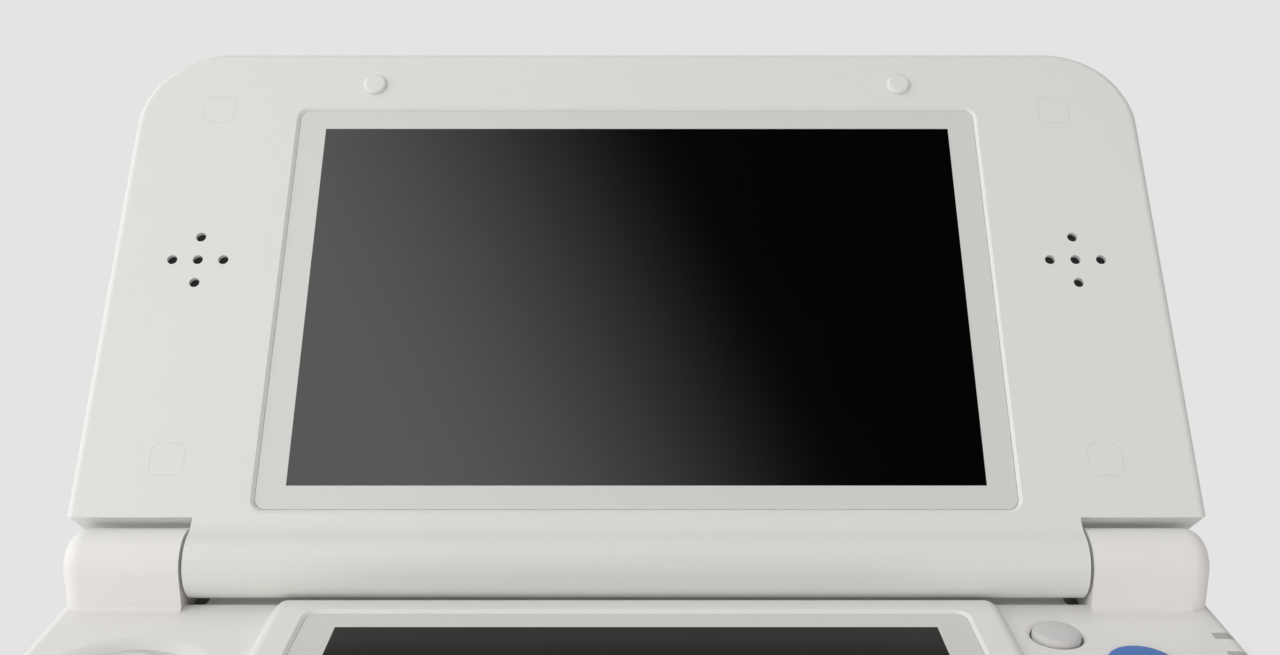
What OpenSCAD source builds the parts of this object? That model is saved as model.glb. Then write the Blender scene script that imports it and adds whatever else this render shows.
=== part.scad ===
// Clamshell handheld game console, standing open on its base.
// Millimetres. Origin: centre of the underside, on the surface it rests on.
// +X is the player's right, +Y runs back to the hinge, +Z is up.

/* [Body] */
// Width of both halves
body_w = 142; // [138:0.5:160]
// Depth of the base, front edge to rear face
body_d = 80.6; // [79:0.2:100]
// Height of the control deck above the resting surface
deck_h = 11.4; // [11.4:0.1:14]
// Height of the whole console when it is shut
closed_h = 21.6; // [21:0.1:25]
// Gap between the deck and the lid's face when shut
lid_gap = 1.7; // [1.6:0.05:2.2]
// Plan radius of the two front corners of the base and the far corners of the lid
corner_r = 12; // [8:0.5:16]
// Plan radius of the rear corners of the base
rear_corner_r = 3; // [2.4:0.1:4]
// Plan radius of the lid's corners beside the hinge
lid_heel_r = 0.9; // [0.6:0.1:1.4]
// Rounding of the deck's edge
deck_edge_r = 1.8; // [1:0.1:2]
// Rounding of the underside's edge
cover_edge_r = 2.2; // [1:0.1:2.4]
// Wall of the casings
wall = 1.4; // [1.2:0.05:1.6]
// Thickness of the cover's floor
cover_t = 1.4; // [1.2:0.05:1.5]

/* [Hinge] */
// Angle that the lid is opened to
lid_open = 130; // [90:1:150]
// Hinge axis in front of the rear face
axis_back = 5.2; // [5:0.1:6]
// Hinge axis above the deck
axis_up = 4.3; // [4.3:0.05:4.8]
// Radius of the lid's barrel
barrel_r = 4.25; // [4:0.05:4.3]
// Inner end of each hinge knuckle from the side of the base
knuckle_w = 15.5; // [14.6:0.1:18.6]
// Outer end of each hinge knuckle from the side of the base
knuckle_inset = 0.8; // [0.4:0.1:1.2]
// Side gap between the barrel and each knuckle
knuckle_gap = 0.4; // [0.3:0.05:0.8]
// Start of the lid's side portions above the axis
heel_v = 5.1; // [5:0.05:5.3]
// Radius of the hinge parts' housings
hinge_r = 2.5; // [2.2:0.05:2.7]
// Radius of the hinge shaft
shaft_r = 1.6; // [1.2:0.05:1.8]

/* [Displays] */
// Width of the upper display
upper_view_w = 88; // [80:0.5:92]
// Upper display's lower edge above the hinge axis
upper_view_v = 9.3; // [9.2:0.1:11]
// Upper display's top edge below the lid's top edge
upper_strip = 12.9; // [12:0.1:18]
// Side border of the upper window plate
upper_border_side = 3.7; // [3.4:0.1:6]
// Top border of the upper window plate
upper_border_top = 3; // [2.6:0.1:4]
// Bottom border of the upper window plate
upper_border_bottom = 3.1; // [2.6:0.05:3.2]
// Width of the control panel on each side of the raised frame
panel_w = 26.7; // [26.5:0.1:30]
// Lower display's rear edge in front of the hinge axis
lower_view_back = 10.45; // [10.4:0.05:10.8]
// Lower display's front edge behind the front edge of the base
lower_strip = 12.15; // [12:0.05:14]
// Side border of the lower window plate
lower_border_side = 3.95; // [3.6:0.05:5]
// Rear border of the lower window plate
lower_border_rear = 3.35; // [3:0.05:3.5]
// Front border of the lower window plate
lower_border_front = 2; // [1.8:0.1:2.4]
// Width of the raised frame outside the lower window plate
rim_side = 4.95; // [4.4:0.05:5.1]
// Depth of the raised frame behind the lower window plate, where the barrel's trough cuts its corners
rim_rear = 6.5; // [6.2:0.05:6.8]
// Depth of the raised frame in front of the lower window plate
rim_front = 2.6; // [2.5:0.1:2.9]
// Height of the raised frame above the deck
rim_h = 1.3; // [1:0.05:1.3]
// How far both window plates sit below what surrounds them
window_drop = 0.3; // [0.2:0.05:0.4]

/* [Controls] */
// Centre of the circle pad and direction pad from the side of the base
pad_edge = 13.6; // [13:0.1:14]
// Circle pad's centre in front of the hinge axis
circle_pad_back = 22.7; // [22.2:0.1:23]
// Radius of the circle pad's cap
circle_pad_r = 6.9; // [6:0.1:6.9]
// Radius of the circle pad's well
circle_well_r = 9.7; // [9.7:0.05:9.9]
// How far the circle pad slides each way
circle_travel = 1.9; // [1:0.1:1.9]
// Direction pad's centre behind the middle of the base
dpad_y = -13.6; // [-15:0.1:-13]
// Length of the direction pad's arms, tip to tip
dpad_l = 18.4; // [16:0.2:18.4]
// Width of the direction pad's arms
dpad_w = 6.2; // [5:0.1:6.4]
// Centre of the face buttons from the side of the base
face_edge = 14; // [13.8:0.1:14.5]
// Centre of the face buttons in front of the hinge axis
face_back = 25.7; // [25:0.1:26.2]
// Distance of each face button from their common centre
face_spread = 7.7; // [7.5:0.1:7.8]
// Radius of the face buttons
face_r = 3.9; // [3.4:0.05:3.9]
// Radius of the start and select buttons
menu_r = 2.2; // [2:0.05:2.6]
// Start and select buttons' centres from the side of the base
menu_edge = 20.5; // [15:0.5:21]
// How far the deck buttons press in
button_travel = 0.6; // [0.3:0.05:0.6]
// Radius of the right-hand pointing nub
nub_r = 2.85; // [2.6:0.05:2.95]
// Pointing nub's centre from the side of the base
nub_edge = 21.5; // [21.3:0.1:22.2]
// Pointing nub's centre in front of the hinge axis
nub_back = 10.4; // [10:0.1:11.4]
// Width of the home button
home_w = 13; // [10:0.5:18]
// Width of each shoulder trigger along the rear
trigger_w = 23.6; // [22:0.1:24.6]
// How far a shoulder trigger's corner presses in
trigger_travel = 1.1; // [0.6:0.1:1.3]
// Thickness of a shoulder trigger's shell
trigger_t = 2.2; // [1.8:0.1:2.4]
// How far the second shoulder buttons press in
rear_button_travel = 0.8; // [0.4:0.1:1]

/* [Ports and slides] */
// Radius of the headphone jack's bore
jack_bore_r = 1.8; // [1.78:0.01:1.85]
// Depth of the headphone jack's bore
jack_bore_l = 12; // [11:0.5:14]
// Inner width of the game card slot
card_w = 33.8; // [33.4:0.1:34.2]
// Inner height of the game card slot
card_h = 4.4; // [4.2:0.05:4.4]
// Depth of the game card slot
card_l = 35; // [33:0.5:37]
// Radius of the stylus
stylus_r = 2.1; // [1.6:0.05:2.1]
// Tip of the stylus in front of the rear face of the base
stylus_rear = 13.6; // [12.6:0.1:30]
// How far the two lid sliders move each way
slider_travel = 4; // [2:0.5:4]
// Length of a lid slider's thumb piece
slider_l = 5; // [4:0.2:6]

/* [Hidden] */
$fn = 64;

// Colours
white = [0.87, 0.87, 0.85];
soft_white = [0.82, 0.82, 0.80];
dark = [0.09, 0.09, 0.10];
steel = [0.62, 0.63, 0.65];
board_green = [0.10, 0.32, 0.20];
rubber_grey = [0.45, 0.46, 0.47];
button_blue = [0.26, 0.45, 0.72];

// Clearances
slip = 0.1;          // a sliding piece in its guide
button_gap = 0.2;    // a button in its hole
seat = 0.02;         // a fixed piece in its seat
run = 0.05;          // a shaft in its bearing
over = 1;            // a cut past a surface

// Base: levels of the stack, bottom to top
front_y = -body_d / 2;
rear_y = body_d / 2;
axis_y = rear_y - axis_back;
axis_z = deck_h + axis_up;
floor_z = cover_t;                 // inside of the cover
skirt_z = floor_z + 2.6;           // cover meets the lower case
tray_t = 1;                        // the lower case's tray
tray_z = floor_z + card_h + 0.6;   // underside of that tray
tray_top = tray_z + tray_t;
split_z = tray_top + 0.2;          // lower case meets the deck case
board_z = tray_top + 0.3;
board_t = 0.6;
board_top = board_z + board_t;
deck_under = deck_h - wall;
sheet_top = board_top + 0.3;       // rubber sheets on the board
flange_t = 0.6;
flange_z = deck_under - 0.1 - flange_t;
cup_h = 2;                         // hollow under each button
dome_top = flange_z + cup_h - button_travel - 0.2;
face_proud = 0.9;
menu_proud = 0.5;
home_proud = 0.4;
lip_h = 0.8;
lip_t = 0.6;

// Lower display and its raised frame
rim_top = deck_h + rim_h;
lower_plate_t = 1.2;
lower_view_w = body_w - 2 * (panel_w + rim_side + lower_border_side);
lower_plate_z = rim_top - window_drop - lower_plate_t;
lower_view_y1 = axis_y - lower_view_back;
lower_view_y0 = front_y + lower_strip;
lower_view_h = lower_view_y1 - lower_view_y0;
lower_plate_w = lower_view_w + 2 * lower_border_side;
lower_plate_y1 = lower_view_y1 + lower_border_rear;
lower_plate_y0 = lower_view_y0 - lower_border_front;
rim_w = lower_plate_w + 2 * rim_side;
rim_y1 = lower_plate_y1 + rim_rear;
rim_y0 = lower_plate_y0 - rim_front;
rim_corner_r = 5;
rim_edge_r = 1.7;
lcd_lap = 1;                       // a display module past its glass
window_gap = 0.05;                 // round both window plates
window_bevel = 0.45;               // width of the bevel round both window plates
lower_lcd_t = 1.9;

// Lid, in its own frame: Y runs up from the hinge axis, Z out of its face
lid_tilt = 180 - lid_open;
face_n = axis_up - lid_gap;
lid_t = closed_h - deck_h - lid_gap;
back_n = face_n - lid_t;
lid_split_n = 0.2;
lid_top_v = axis_y - front_y - 0.4;
lid_wall = 1.4;
face_wall = 1.6;
cavity_n0 = back_n + 2;
cavity_n1 = face_n - face_wall;
face_edge_r = 1.1;
lid_cavity_r = 1.4;
back_edge_r = 2.2;
lid_cover_t = 1;
heel_blend_r = 4;
upper_plate_t = 0.8;
upper_plate_n = face_n - window_drop - upper_plate_t;
upper_plate_w = upper_view_w + 2 * upper_border_side;
upper_view_h = lid_top_v - upper_strip - upper_view_v;
upper_plate_v0 = upper_view_v - upper_border_bottom;
upper_plate_v1 = upper_view_v + upper_view_h + upper_border_top;
plate_corner_r = 1.4;
upper_lcd_t = 3;
speaker_x = body_w / 2 - 11.75;
speaker_v = 41.1;
speaker_w = 12;
speaker_h = 16;
speaker_t = 3;
speaker_pitch = 3.45;
speaker_hole_r = 0.68;
cover_x = body_w / 2 - 11.7;
cover_vs = [heel_v + 7.6, lid_top_v - 9.9];
cover_size = 4.3;
screw_cover_t = 0.55;
lid_pad_x = upper_view_w / 2 - 6.5;
lid_pad_v = lid_top_v - 5.65;
lid_pad_r = 1.65;
lid_pad_h = 0.5;
lid_pad_edge_r = 0.45;
camera_x = 17.5;
camera_v = lid_top_v - 6.6;
camera_r = 2.6;
camera_box_w = 7;
camera_box_t = 2.3;
lid_board_t = 0.6;
outer_plate_in = 7;                // border round the lid's outer cover plate
slider_v = 24;
slider_n = -1.7;
slider_w = 2;

// Knuckles
knuckle_x0 = body_w / 2 - knuckle_w;
barrel_l = 2 * (knuckle_x0 - knuckle_gap);
knuckle_r = axis_up;
knuckle_end_r = 2.4;
crease_r = 0.7;
trough_r = barrel_r + 0.85;
trough_slot_w = 2;                 // opening in the trough beside each knuckle
hinge_end_x = body_w / 2 - 4.5;
shaft_reach = 12.5;                // hinge shaft inside the barrel
bush_reach = 8;                    // hinge bush inside the barrel
flex_reach = 26;                   // rolled circuit inside the barrel
flex_r = 1.5;
flex_t = 0.4;

// Shoulder triggers
trigger_x0 = body_w / 2 - trigger_w;
trigger_side_y = rear_y - 8.3;
trigger_z0 = floor_z + 1.9;
trigger_z1 = deck_under - 0.5;
pin_x = trigger_x0 + 2;
pin_y = rear_y - wall - 1.6;
pin_r = 0.8;
pin_boss_r = 1.8;
spring_wire = 0.3;
rear_button_w = 9.6;
rear_button_x = trigger_x0 - 1.6 - rear_button_w / 2;
rear_button_h = 4.4;
rear_button_z = (trigger_z0 + trigger_z1) / 2;

// Screws
rear_screw_x = body_w / 2 - 29;
rear_screw_y = rear_y - 8.5;
front_screw_x = body_w / 2 - 17;
front_screw_y = front_y + 7.3;
case_screw_at = [[rear_screw_x, rear_screw_y], [-rear_screw_x, rear_screw_y],
                 [front_screw_x, front_screw_y], [-front_screw_x, front_screw_y]];
cover_screw_x = body_w / 2 - 9;
cover_screw_y = rear_y - 16.3;
cover_screw_at = [[cover_screw_x, cover_screw_y], [-cover_screw_x, cover_screw_y]];
screw_r = 0.75;

// Places of the controls
pad_x = body_w / 2 - pad_edge;
face_x = body_w / 2 - face_edge;
menu_x = body_w / 2 - menu_edge;
nub_x = body_w / 2 - nub_edge;
nub_y = axis_y - nub_back;
face_y = axis_y - face_back;
circle_pad_y = axis_y - circle_pad_back;

// Inner parts, laid out from the left to the right
card_x = card_w / 2 + 20.1 - body_w / 2;
card_shell = 0.3;
card_y0 = front_y + wall + 0.1;
jack_x = card_x + card_w / 2 + 8.1;
jack_shell = 0.5;
jack_z = (floor_z + tray_z) / 2;
stylus_x = jack_x + 11.5;
stylus_l = body_d - stylus_rear;
stylus_rib = 1;
stylus_tip_r = 0.8;
stylus_tip_l = 6;
stylus_z = (floor_z + tray_z) / 2;
battery_x = [stylus_x + stylus_r + 3.4, body_w / 2 - 15];
battery_y = [front_y + 10.3, rear_y - 14.3];
battery_h = tray_z - floor_z - 0.2;
bay_wall = 0.8;
bay_gap = 0.3;
board_half = body_w / 2 - 5;
board_y = [front_y + 10.3, rear_y - 11.3];
chip_t = 0.7;
sd_w = 11;
sd_l = 14;
sd_t = 1.5;
sd_x = 12.5 - body_w / 2;
sd_y = 5;
charge_w = 9;
charge_h = 1.8;
charge_l = 7.8;
charge_shell = 0.4;
charge_z = tray_z - 1.8;
window_w = 8.8;
window_x = -22;
wireless_w = 11;
wireless_l = 18;
wireless_t = 1.8;
power_x = body_w / 2 - 33;
power_r = 1.5;
power_z = (skirt_z + split_z) / 2;
power_travel = 0.4;
home_y = (front_y + deck_edge_r + rim_y0) / 2 - 0.6;
home_d = 3.2;
menu_ys = [-15.5, -25.5];
well_floor_z = deck_h - 1.1;
well_floor_t = 0.9;
pad_stem_r = 2.6;
well_hole_r = pad_stem_r + sqrt(2) * circle_travel + slip;
well_mouth_w = 1.9;                // soft slope round the circle pad's well
well_mouth_r = 5.4;
nub_gap = 0.25;
nub_proud = 0.7;
nub_edge_r = 0.8;
nub_mouth_w = 0.7;                 // soft slope round the nub's hole
nub_mouth_r = 1.1;
mouth_angle = 6;                   // between the deck and the start of both slopes
light_y = [axis_y - knuckle_r - 6.4, axis_y - knuckle_r - 10.85];
light_w = 1.5;
light_reach = 3.2;                 // of the lights' windows in from the side

// ---------------------------------------------------------------- shapes

// A rectangle with round corners, centred
module rounded_rect(w, d, r) {
    square([w - 2 * r, d], center = true);
    square([w, d - 2 * r], center = true);
    for (x = [-1, 1], y = [-1, 1])
        translate([x * (w / 2 - r), y * (d / 2 - r)]) circle(r = r);
}

// A plan outline of width w from y0 to y1, with corner radii r0 at y0 and r1 at y1
module outline(w, y0, y1, r0, r1) {
    big = max(r0, r1);
    translate([-w / 2 + big, y0]) square([w - 2 * big, y1 - y0]);
    translate([-w / 2, y0 + r0]) square([w, y1 - y0 - r0 - r1]);
    if (r0 > r1) translate([-w / 2 + r1, y0 + r0]) square([w - 2 * r1, y1 - y0 - r0]);
    if (r1 > r0) translate([-w / 2 + r0, y0]) square([w - 2 * r0, y1 - y0 - r1]);
    for (s = [-1, 1]) {
        translate([s * (w / 2 - r0), y0 + r0]) circle(r = r0);
        translate([s * (w / 2 - r1), y1 - r1]) circle(r = r1);
    }
}

// A section from a0 to a1 and b0 to b1, its lower corners rounded by eb and upper by et
module section(a0, a1, b0, b1, eb, et) intersection() {
    translate([a0, b0]) square([a1 - a0, b1 - b0]);
    union() {
        translate([a0, b0 + eb]) square([a1 - a0, b1 - b0 - eb - et]);
        if (et > 0) {
            translate([a0 + et, b1 - et]) square([a1 - a0 - 2 * et, et]);
            for (a = [a0 + et, a1 - et]) translate([a, b1 - et]) circle(r = et);
        }
        if (eb > 0) {
            translate([a0 + eb, b0]) square([a1 - a0 - 2 * eb, eb]);
            for (a = [a0 + eb, a1 - eb]) translate([a, b0 + eb]) circle(r = eb);
        }
    }
}

// A round plate of radius r, its rims rounded like a section's corners
module puck(r, z0, z1, eb, et) {
    rotate_extrude() intersection() {
        section(-r, r, z0, z1, eb, et);
        translate([0, z0]) square([r, z1 - z0]);
    }
}

// Carries a YZ section along X, from x0 to x1
module along_x(x0, x1) {
    translate([x0, 0, 0]) rotate([90, 0, 90]) linear_extrude(x1 - x0) children();
}

// Carries an XZ section along Y, from y0 to y1
module along_y(y0, y1) {
    translate([0, y1, 0]) rotate([90, 0, 0]) linear_extrude(y1 - y0) children();
}

// A slab with the plan of outline() and softly rounded rims
module soft_slab(w, y0, y1, z0, z1, r0, r1, eb, et) {
    for (s = [-1, 1]) {
        translate([s * (w / 2 - r0), y0 + r0, 0]) puck(r0, z0, z1, eb, et);
        translate([s * (w / 2 - r1), y1 - r1, 0]) puck(r1, z0, z1, eb, et);
    }
    along_y(y0 + r0, y1 - r1) section(-w / 2, w / 2, z0, z1, eb, et);
    wide = w / 2 - max(r0, r1);
    along_x(-wide, wide) section(y0, y1, z0, z1, eb, et);
    if (r0 > r1) along_x(-w / 2 + r1, w / 2 - r1) section(y0 + r0, y1, z0, z1, eb, et);
    if (r1 > r0) along_x(-w / 2 + r0, w / 2 - r0) section(y0, y1 - r1, z0, z1, eb, et);
}

// Bevels the mouth of a window plate's seat: its plan is that of outline(), z is the face round it
module seat_bevel(w, y0, y1, r, z) {
    a = -0.2 * window_bevel;
    b = 1.5 * window_bevel;
    za = z - 1.2 * window_drop;
    zb = z + 0.5 * window_drop;
    for (s = [-1, 1], y = [y0 + r, y1 - r]) translate([s * (w / 2 - r), y, za])
        cylinder(r1 = r + a, r2 = r + b, h = zb - za);
    along_x(-w / 2 + r, w / 2 - r)
        polygon([[y0 - a, za], [y1 + a, za], [y1 + b, zb], [y0 - b, zb]]);
    along_y(y0 + r, y1 - r)
        polygon([[-w / 2 - a, za], [w / 2 + a, za], [w / 2 + b, zb], [-w / 2 - b, zb]]);
}

// Rounds the deck over into a round hole of radius r, by an arc over a width of w
module round_mouth(r, w, arc_r) {
    cx = r + w + arc_r * sin(mouth_angle);
    cz = -arc_r * cos(mouth_angle);
    drop = -cz - sqrt(pow(arc_r, 2) - pow(cx - r, 2));
    translate([0, 0, deck_h]) rotate_extrude() difference() {
        translate([r - 0.2, -drop - 0.3]) square([w + 0.3, drop + 0.3 + over]);
        translate([cx, cz]) circle(r = arc_r);
    }
}

// A block between two corners
module block(a, b) {
    translate(a) cube(b - a);
}

// A cylinder along X from x0 to x1
module rod_x(r, x0, x1) {
    translate([x0, 0, 0]) rotate([0, 90, 0]) cylinder(r = r, h = x1 - x0);
}

// A cylinder along Y from y0 to y1
module rod_y(r, y0, y1) {
    translate([0, y1, 0]) rotate([90, 0, 0]) cylinder(r = r, h = y1 - y0);
}

// Places something made in the lid's frame
module in_lid() {
    translate([0, axis_y, axis_z]) rotate([lid_tilt, 0, 0]) children();
}

module at_axis() {
    translate([0, axis_y, axis_z]) children();
}

module mirrored(side) {
    if (side < 0) mirror([1, 0, 0]) children();
    else children();
}

// ---------------------------------------------------------------- base casings

// The base's plan, drawn in by inset
module base_plan(inset) {
    r0 = corner_r - inset;
    r1 = max(rear_corner_r - inset, 0.4);
    outline(body_w - 2 * inset, front_y + inset, rear_y - inset, r0, r1);
}

// The hollow inside the three base casings
module base_cavity() {
    translate([0, 0, floor_z]) linear_extrude(deck_under - floor_z) base_plan(wall);
}

// The charging socket's mouth, grown by extra on all sides
module charge_block(extra, y0, y1) {
    block([-charge_w / 2 - extra, y0, charge_z - charge_h / 2 - extra],
          [charge_w / 2 + extra, y1, charge_z + charge_h / 2 + extra]);
}

// The infrared window, grown by extra on all sides
module window_block(extra, y0, y1) {
    block([window_x - window_w / 2 - extra, y0, skirt_z + 0.7 - extra],
          [window_x + window_w / 2 + extra, y1, split_z - 0.7 + extra]);
}

// What the ports, triggers and rear buttons take out of the walls
module wall_cuts() {
    for (side = [-1, 1]) mirrored(side) {
        block([trigger_x0 - button_gap, trigger_side_y - trigger_travel - slip,
               trigger_z0 - button_gap],
              [body_w / 2 + over, rear_y + over, trigger_z1 + button_gap]);
        translate([rear_button_x, rear_y, rear_button_z]) rotate([90, 0, 0])
            translate([0, 0, -over]) linear_extrude(wall + 2 * over)
                rounded_rect(rear_button_w + 2 * button_gap, rear_button_h + 2 * button_gap, 1.4);
    }
    // game card mouth
    block([card_x - card_w / 2 - 0.1, front_y - over, jack_z - card_h / 2 - 0.05],
          [card_x + card_w / 2 + 0.1, card_y0, jack_z + card_h / 2 + 0.05]);
    // headphone jack, stylus and power button
    translate([jack_x, 0, jack_z]) rod_y(jack_bore_r + jack_shell + seat, front_y - over, card_y0);
    translate([stylus_x, 0, stylus_z]) rod_y(stylus_r + slip, front_y - over, card_y0);
    translate([power_x, 0, power_z]) rod_y(power_r + button_gap, front_y - over, card_y0);
    // charging socket
    charge_block(charge_shell + slip, rear_y - wall - 0.2, rear_y + over);
    // infrared window
    window_block(slip, rear_y - wall - 0.2, rear_y + over);
}

module rim_body() {
    soft_slab(rim_w, rim_y0, rim_y1, deck_under, rim_top, rim_corner_r, rim_corner_r,
              0, rim_edge_r);
}

// One hinge knuckle, on the right: a rounded end on a foot that runs down into the deck
module knuckle() {
    x1 = body_w / 2 - knuckle_inset;
    foot_z = deck_h - deck_edge_r;
    at_axis() rotate([0, 90, 0]) translate([0, 0, knuckle_x0])
        puck(knuckle_r, 0, x1 - knuckle_x0, 0, knuckle_end_r);
    y0 = axis_y - knuckle_r;
    y1 = axis_y + knuckle_r;
    translate([0, 0, foot_z]) linear_extrude(axis_z - foot_z) {
        translate([knuckle_x0, y0]) square([x1 - knuckle_end_r - knuckle_x0, y1 - y0]);
        translate([knuckle_x0, y0 + knuckle_end_r])
            square([x1 - knuckle_x0, y1 - y0 - 2 * knuckle_end_r]);
        for (y = [y0 + knuckle_end_r, y1 - knuckle_end_r])
            translate([x1 - knuckle_end_r, y]) circle(r = knuckle_end_r);
    }
    // soft crease between the knuckle and the deck
    along_x(knuckle_x0, x1 - knuckle_end_r) difference() {
        translate([y0 - crease_r, deck_h - 0.5]) square([crease_r + 0.5, crease_r + 0.5]);
        translate([y0 - crease_r, deck_h + crease_r]) circle(r = crease_r);
    }
}

module button_holes() {
    for (a = [0 : 90 : 270])
        translate([face_x, face_y, deck_under - over]) rotate(a) translate([face_spread, 0, 0])
            cylinder(r = face_r + button_gap, h = wall + 2 * over);
    for (y = menu_ys) translate([menu_x, y, deck_under - over])
        cylinder(r = menu_r + button_gap, h = wall + 2 * over);
    translate([0, home_y, deck_under - over]) linear_extrude(wall + 2 * over)
        rounded_rect(home_w + 2 * button_gap, home_d + 2 * button_gap, home_d / 2);
    // direction pad
    translate([-pad_x, dpad_y, deck_under - over]) linear_extrude(wall + 2 * over)
        for (a = [0, 90]) rotate(a) rounded_rect(dpad_l + 0.7, dpad_w + 0.7, 1.2);
    // pointing nub, with a soft mouth
    translate([nub_x, nub_y, deck_under - over])
        cylinder(r = nub_r + nub_gap, h = wall + 2 * over);
    translate([nub_x, nub_y, 0]) round_mouth(nub_r + nub_gap, nub_mouth_w, nub_mouth_r);
}

// The circle pad's well: straight wall, soft mouth and a floor with a hole
module circle_well_cut() {
    translate([-pad_x, circle_pad_y, 0]) {
        translate([0, 0, well_floor_z])
            cylinder(r = circle_well_r, h = deck_h - well_floor_z + over);
        round_mouth(circle_well_r, well_mouth_w, well_mouth_r);
        translate([0, 0, deck_under - 2 * over]) cylinder(r = well_hole_r, h = wall + 2 * over);
    }
}

module light_boxes() {
    for (y = light_y)
        block([body_w / 2 - light_reach, y - light_w / 2, deck_under - 0.4],
              [body_w / 2 + 0.2, y + light_w / 2, deck_h + 0.2]);
}

module deck_outer() {
    soft_slab(body_w, front_y, rear_y, split_z, deck_h, corner_r, rear_corner_r, 0, deck_edge_r);
}

module deck_case() color(white) difference() {
    union() {
        difference() {
            union() {
                deck_outer();
                rim_body();
                for (side = [-1, 1]) mirrored(side) knuckle();
            }
            base_cavity();
        }
        // screw bosses under the deck, pin bosses and the well's floor
        for (p = case_screw_at) translate([p[0], p[1], tray_top])
            cylinder(r = 1.7, h = deck_under - tray_top + 0.2);
        for (side = [-1, 1]) translate([side * pin_x, pin_y, trigger_z1 + 0.1])
            cylinder(r = pin_boss_r, h = deck_under - trigger_z1);
        translate([-pad_x, circle_pad_y, well_floor_z - well_floor_t])
            cylinder(r = circle_well_r + 1, h = well_floor_t + 0.2);
    }
    // trough for the lid's barrel
    at_axis() rod_x(trough_r, -knuckle_x0, knuckle_x0);
    for (side = [-1, 1]) mirrored(side)
        block([knuckle_x0 - trough_slot_w, axis_y - 2, deck_under - over],
              [knuckle_x0, axis_y + 3, axis_z - knuckle_r + 1]);
    // window plate's seat and the display's opening
    translate([0, 0, lower_plate_z]) linear_extrude(lower_plate_t + over)
        outline(lower_plate_w + 2 * window_gap, lower_plate_y0 - window_gap,
                lower_plate_y1 + window_gap, plate_corner_r, plate_corner_r);
    seat_bevel(lower_plate_w + 2 * window_gap, lower_plate_y0 - window_gap,
               lower_plate_y1 + window_gap, plate_corner_r, rim_top);
    block([-lower_view_w / 2 - lcd_lap - 0.2, lower_view_y0 - lcd_lap - 0.2, deck_under - over],
          [lower_view_w / 2 + lcd_lap + 0.2, lower_view_y1 + lcd_lap + 0.2, rim_top]);
    button_holes();
    circle_well_cut();
    light_boxes();
    wall_cuts();
    // bores for the hinge parts, the screws and the shoulder pins
    at_axis() for (side = [-1, 1]) mirrored(side)
        rod_x(hinge_r + seat, knuckle_x0 - over, hinge_end_x);
    for (p = case_screw_at) translate([p[0], p[1], tray_top - over])
        cylinder(r = screw_r + seat, h = over + 2.4);
    for (side = [-1, 1]) translate([side * pin_x, pin_y, deck_under - over])
        cylinder(r = pin_r + seat, h = over + 0.5);
}

// The battery's plan, grown by extra on all sides
module battery_block(extra, z0, z1) {
    block([battery_x[0] - extra, battery_y[0] - extra, z0],
          [battery_x[1] + extra, battery_y[1] + extra, z1]);
}

module lower_case() color(white) difference() {
    union() {
        // outer band
        translate([0, 0, skirt_z]) linear_extrude(split_z - skirt_z) difference() {
            base_plan(0);
            base_plan(wall);
        }
        // lip that centres the deck case
        translate([0, 0, split_z - 0.5]) linear_extrude(lip_h + 0.5) difference() {
            base_plan(wall + seat);
            base_plan(wall + lip_t);
        }
        // tray
        translate([0, 0, tray_z]) linear_extrude(tray_t) base_plan(wall - 0.1);
        // rests for the main board
        for (x = [-1, -1 / 3, 1 / 3, 1], y = [board_y[0] + 4, board_y[1] - 4])
            translate([x * (board_half - 6), y, tray_top - 0.1])
                cylinder(r = 1.6, h = board_z - tray_top + 0.1);
        // stylus channel
        block([stylus_x - stylus_r - slip - stylus_rib, front_y + wall, floor_z],
              [stylus_x + stylus_r + slip + stylus_rib, front_y + stylus_l + 0.5 + stylus_rib,
               tray_z + 0.1]);
        // battery bay
        difference() {
            battery_block(bay_gap + bay_wall, floor_z + 1, tray_z + 0.1);
            battery_block(bay_gap, floor_z, tray_z);
        }
        // bosses for the cover's screws
        for (p = cover_screw_at) translate([p[0], p[1], floor_z])
            cylinder(r = 2.2, h = tray_z - floor_z + 0.1);
    }
    wall_cuts();
    translate([stylus_x, 0, stylus_z]) rod_y(stylus_r + slip, front_y - over, front_y + stylus_l + 0.5);
    // room behind the power button and round the triggers' pins
    block([power_x - power_r - 0.9, front_y + wall - 0.1, skirt_z - over],
          [power_x + power_r + 0.9, front_y + wall + 1.8, split_z + lip_h + over]);
    // card cage, jack and sockets hang under the tray, so their room is clear of ribs
    block([card_x - card_w / 2 - card_shell - 0.1, card_y0, floor_z],
          [card_x + card_w / 2 + card_shell + 0.1, card_y0 + card_l, tray_z]);
    // second shoulder buttons' flanges
    for (side = [-1, 1]) mirrored(side)
        block([rear_button_x - rear_button_w / 2 - 1.2, rear_y - wall - rear_button_travel - 1.6,
               trigger_z0 - 1],
              [rear_button_x + rear_button_w / 2 + 1.2, rear_y - wall + 0.01, split_z + lip_h + over]);
    for (p = case_screw_at) translate([p[0], p[1], tray_z - over])
        cylinder(r = screw_r + button_gap, h = tray_t + 2 * over);
    for (p = cover_screw_at) translate([p[0], p[1], floor_z - over])
        cylinder(r = screw_r + seat, h = over + 4);
}

module cover_plate() color(white) difference() {
    soft_slab(body_w, front_y, rear_y, 0, skirt_z, corner_r, rear_corner_r, cover_edge_r, 0);
    base_cavity();
    wall_cuts();
    for (p = cover_screw_at) {
        translate([p[0], p[1], -over]) cylinder(r = 1.8, h = over + 0.7);
        translate([p[0], p[1], 0]) cylinder(r = screw_r + button_gap, h = cover_t + over);
    }
}

// A countersunk-looking pan screw, head at the bottom, with a cross recess
module screw(head_r, head_h, shank) {
    difference() {
        union() {
            puck(head_r, 0, head_h, 0.3, 0);
            cylinder(r = screw_r, h = head_h + shank);
        }
        for (a = [0, 90]) rotate(a) block([-head_r * 0.6, -0.15, -over], [head_r * 0.6, 0.15, 0.35]);
    }
}

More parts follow.
